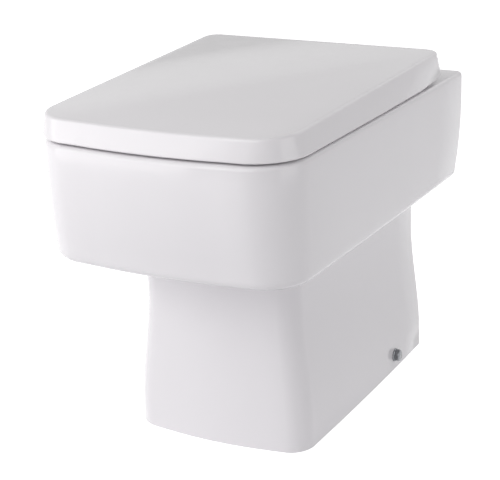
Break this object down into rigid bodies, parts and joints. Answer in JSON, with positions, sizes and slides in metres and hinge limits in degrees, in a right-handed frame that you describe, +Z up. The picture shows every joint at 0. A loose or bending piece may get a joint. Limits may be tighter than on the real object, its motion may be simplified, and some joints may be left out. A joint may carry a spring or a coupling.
{
  "type": "back to wall toilet",
  "caption": "Back to wall toilet with a box-shaped bowl on a narrower flared pedestal, a hinged soft-close seat and a wrap-over lid.",
  "frame": {"origin": "on the floor, under the middle of the pan's width and depth", "axes": "+X to the right as seen from the front, +Y towards the wall, +Z up; the front of the bowl faces -Y"},
  "size_m": [0.35, 0.52, 0.4408],
  "materials": {
    "ceramic": "white vitreous china, gloss glaze",
    "seat_plastic": "white moulded thermoset, polished",
    "chrome": "bright chrome plate",
    "steel": "zinc-plated steel, satin",
    "rubber": "black EPDM, matt",
    "buffer_rubber": "pale grey soft rubber",
    "nylon": "natural nylon, matt",
    "acetal": "dark grey acetal, matt"
  },
  "bodies": {
    "base": {"pan": "ceramic", "bowl": "ceramic", "trapway": "ceramic", "inlet_socket": "ceramic", "hinge_bracket_left": "chrome", "hinge_bracket_right": "chrome", "hinge_pin_left": "steel", "hinge_pin_right": "steel", "hinge_gaskets": "nylon", "hinge_screws": "steel", "expansion_bushes": "rubber", "bush_nuts": "steel", "floor_bracket_left": "nylon", "floor_bracket_right": "nylon", "side_sleeves": "nylon", "side_washers": "chrome", "side_bolts": "chrome", "inlet_seal": "rubber"},
    "seat": {"seat_ring": "seat_plastic", "seat_buffers": "buffer_rubber", "seat_bush": "acetal", "seat_damper": "acetal"},
    "cover": {"lid": "seat_plastic", "lid_buffers": "buffer_rubber", "lid_bush": "acetal", "lid_damper": "acetal"}
  },
  "joints": [
    {"name": "seat_hinge", "type": "hinge", "parent": "base", "child": "seat", "pos_m": [0, 0.184, 0.425], "axis": [-1, 0, 0], "range_deg": [0, 93]},
    {"name": "lid_hinge", "type": "hinge", "parent": "seat", "child": "cover", "pos_m": [0, 0.184, 0.425], "axis": [-1, 0, 0], "range_deg": [0, 94]}
  ]
}
